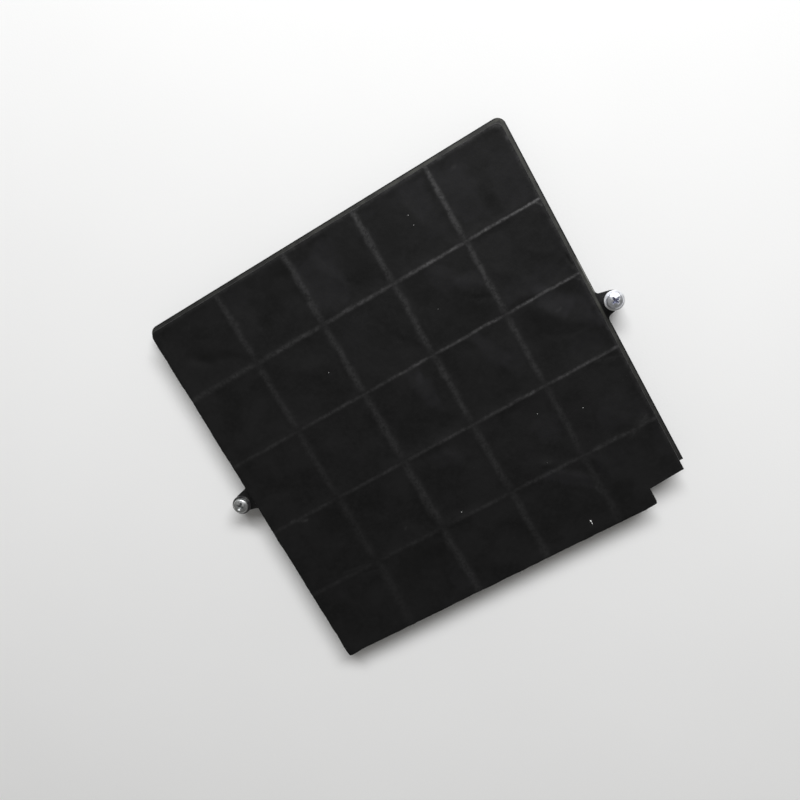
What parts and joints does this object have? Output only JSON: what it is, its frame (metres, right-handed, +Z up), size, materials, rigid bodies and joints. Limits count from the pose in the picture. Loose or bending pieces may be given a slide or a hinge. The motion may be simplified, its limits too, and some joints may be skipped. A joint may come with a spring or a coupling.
{
  "type": "cooker hood carbon filter",
  "caption": "Slim square carbon filter cassette for a cooker hood: moulded grid frame with a seating flange and a notched corner, quilted black fleece, captive screws in the side ears.",
  "frame": {"origin": "on the table, under the middle of the cassette", "axes": "+Z up through the intake face, +X from the left ear to the right ear, +Y from the notched side to the plain side"},
  "size_m": [0.275, 0.25, 0.0197],
  "materials": {
    "frame_plastic": "moulded black plastic, worn glossy along the flange",
    "fleece": "thin black non-woven fleece",
    "carbon": "granules of activated carbon",
    "zinc": "bright zinc plate"
  },
  "bodies": {
    "cassette": {"frame": "frame_plastic", "front_fleece": "fleece", "rear_fleece": "fleece", "carbon_bed_row1_column1": "carbon", "carbon_bed_row1_column2": "carbon", "carbon_bed_row1_column3": "carbon", "carbon_bed_row1_column4": "carbon", "carbon_bed_row1_column5": "carbon", "carbon_bed_row2_column1": "carbon", "carbon_bed_row2_column2": "carbon", "carbon_bed_row2_column3": "carbon", "carbon_bed_row2_column4": "carbon", "carbon_bed_row2_column5": "carbon", "carbon_bed_row3_column1": "carbon", "carbon_bed_row3_column2": "carbon", "carbon_bed_row3_column3": "carbon", "carbon_bed_row3_column4": "carbon", "carbon_bed_row3_column5": "carbon", "carbon_bed_row4_column1": "carbon", "carbon_bed_row4_column2": "carbon", "carbon_bed_row4_column3": "carbon", "carbon_bed_row4_column4": "carbon", "carbon_bed_row4_column5": "carbon", "carbon_bed_row5_column1": "carbon", "carbon_bed_row5_column2": "carbon", "carbon_bed_row5_column3": "carbon", "carbon_bed_row5_column4": "carbon", "carbon_bed_row5_column5": "carbon"},
    "right_washer": {"right_washer": "zinc"},
    "right_screw": {"right_screw": "zinc"},
    "left_washer": {"left_washer": "zinc"},
    "left_screw": {"left_screw": "zinc"}
  },
  "joints": [
    {"name": "right_screw_slide", "type": "slide", "parent": "cassette", "child": "right_washer", "axis": [0, 0, 1], "range_m": [-0.0048, 0.0009]},
    {"name": "right_screw_turn", "type": "hinge", "parent": "right_washer", "child": "right_screw", "pos_m": [0.1315, 0, 0.0154], "axis": [0, 0, 1], "continuous": true},
    {"name": "left_screw_slide", "type": "slide", "parent": "cassette", "child": "left_washer", "axis": [0, 0, 1], "range_m": [-0.0048, 0.0009]},
    {"name": "left_screw_turn", "type": "hinge", "parent": "left_washer", "child": "left_screw", "pos_m": [-0.1315, 0, 0.0154], "axis": [0, 0, 1], "continuous": true}
  ]
}
